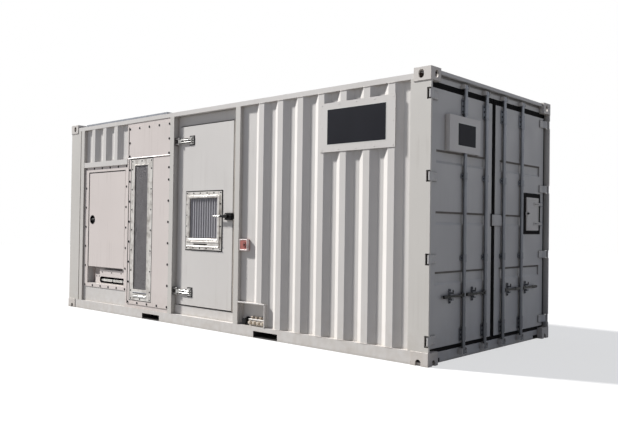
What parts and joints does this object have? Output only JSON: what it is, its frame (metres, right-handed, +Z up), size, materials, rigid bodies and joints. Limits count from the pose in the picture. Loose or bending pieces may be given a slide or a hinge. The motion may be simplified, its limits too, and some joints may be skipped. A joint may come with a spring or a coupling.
{
  "type": "containerised diesel generator",
  "caption": "Walk-in steel container enclosure of a diesel generating set, with cargo doors, personnel door, service hatch, intake grille and fork pockets.",
  "frame": {"origin": "middle of the footprint, on the ground under the corner castings", "axes": "+X along the length towards the cargo doors, -Y the long side with the personnel door, +Z up"},
  "size_m": [6.058, 2.438, 2.591],
  "materials": {
    "enclosure_paint": "white enamel over corrugated and folded steel, slightly dusty",
    "panel_paint": "warmer white enamel on the bolted steel panels",
    "underframe_paint": "dark bituminous coating on the underframe",
    "floor_paint": "grey floor paint on steel plate",
    "galvanised_steel": "dull hot-dip galvanised steel",
    "stainless_steel": "bright polished stainless steel",
    "aluminium_frame": "mill-finish aluminium sheet and angle",
    "filter_mesh": "grey-blue knitted wire filter mesh",
    "gasket_rubber": "black EPDM rubber",
    "latch_black": "black coated steel latch",
    "estop_red": "sun-faded red plastic"
  },
  "bodies": {
    "enclosure": {"bottom_castings": "enclosure_paint", "top_castings": "enclosure_paint", "corner_posts": "enclosure_paint", "side_posts": "enclosure_paint", "bottom_side_rails": "enclosure_paint", "top_side_rails": "enclosure_paint", "end_rails": "enclosure_paint", "underframe": "underframe_paint", "floor_deck": "floor_paint", "roof_panel": "enclosure_paint", "roof_curb": "galvanised_steel", "roof_grille": "galvanised_steel", "front_corrugated_wall": "enclosure_paint", "upper_panels": "enclosure_paint", "hatch_wall": "enclosure_paint", "bolted_frames": "panel_paint", "service_recess": "panel_paint", "fill_box": "panel_paint", "intake_walls": "panel_paint", "intake_grille_frames": "aluminium_frame", "intake_grilles": "filter_mesh", "door_frames": "enclosure_paint", "door_fixings": "stainless_steel", "estop": "estop_red", "connection_box": "enclosure_paint", "side_sign_plate": "enclosure_paint", "rear_corrugated_wall": "enclosure_paint", "rear_service_wall": "panel_paint", "rear_door": "enclosure_paint", "far_end_wall": "enclosure_paint", "cam_keepers": "enclosure_paint"},
    "cargo_door_left": {"cargo_door_left": "enclosure_paint", "door_gasket_left": "gasket_rubber", "door_fittings_left": "galvanised_steel", "door_sign_box": "enclosure_paint"},
    "cargo_door_right": {"cargo_door_right": "enclosure_paint", "door_gasket_right": "gasket_rubber", "door_fittings_right": "galvanised_steel"},
    "lock_rod_1": {"lock_rod_1": "galvanised_steel"},
    "lock_rod_2": {"lock_rod_2": "galvanised_steel"},
    "lock_rod_3": {"lock_rod_3": "galvanised_steel"},
    "lock_rod_4": {"lock_rod_4": "galvanised_steel"},
    "inspection_hatch": {"inspection_hatch": "enclosure_paint"},
    "personnel_door": {"personnel_door": "enclosure_paint", "door_hinge_straps": "stainless_steel", "door_vent_frame": "aluminium_frame", "door_vent_filter": "filter_mesh", "door_latch_body": "latch_black"},
    "door_lever": {"door_lever": "stainless_steel"},
    "service_hatch": {"hatch_leaf": "panel_paint"}
  },
  "joints": [
    {"name": "cargo_door_left_swing", "type": "hinge", "parent": "enclosure", "child": "cargo_door_left", "pos_m": [3.017, -1.202, 1.286], "axis": [0, 0, -1], "range_deg": [0, 255]},
    {"name": "cargo_door_right_swing", "type": "hinge", "parent": "enclosure", "child": "cargo_door_right", "pos_m": [3.017, 1.202, 1.286], "axis": [0, 0, 1], "range_deg": [0, 255]},
    {"name": "personnel_door_swing", "type": "hinge", "parent": "enclosure", "child": "personnel_door", "pos_m": [-0.534, -1.185, 1.3], "axis": [0, 0, -1], "range_deg": [0, 115]},
    {"name": "service_hatch_swing", "type": "hinge", "parent": "enclosure", "child": "service_hatch", "pos_m": [-1.681, -1.182, 1.248], "axis": [0, 0, 1], "range_deg": [0, 95]},
    {"name": "lock_rod_1_turn", "type": "hinge", "parent": "cargo_door_left", "child": "lock_rod_1", "pos_m": [3.004, -0.585, 0.58], "axis": [0, 0, -1], "range_deg": [-100, 0]},
    {"name": "lock_rod_2_turn", "type": "hinge", "parent": "cargo_door_left", "child": "lock_rod_2", "pos_m": [3.004, -0.184, 0.58], "axis": [0, 0, -1], "range_deg": [-100, 0]},
    {"name": "lock_rod_3_turn", "type": "hinge", "parent": "cargo_door_right", "child": "lock_rod_3", "pos_m": [3.004, 0.184, 0.58], "axis": [0, 0, 1], "range_deg": [-100, 0]},
    {"name": "lock_rod_4_turn", "type": "hinge", "parent": "cargo_door_right", "child": "lock_rod_4", "pos_m": [3.004, 0.585, 0.58], "axis": [0, 0, 1], "range_deg": [-100, 0]},
    {"name": "inspection_hatch_swing", "type": "hinge", "parent": "cargo_door_right", "child": "inspection_hatch", "pos_m": [3, 1.045, 1.36], "axis": [0, 0, -1], "range_deg": [-160, 0]},
    {"name": "door_lever_turn", "type": "hinge", "parent": "personnel_door", "child": "door_lever", "pos_m": [0.371, -1.2, 1.293], "axis": [0, -1, 0], "range_deg": [0, 90]}
  ]
}
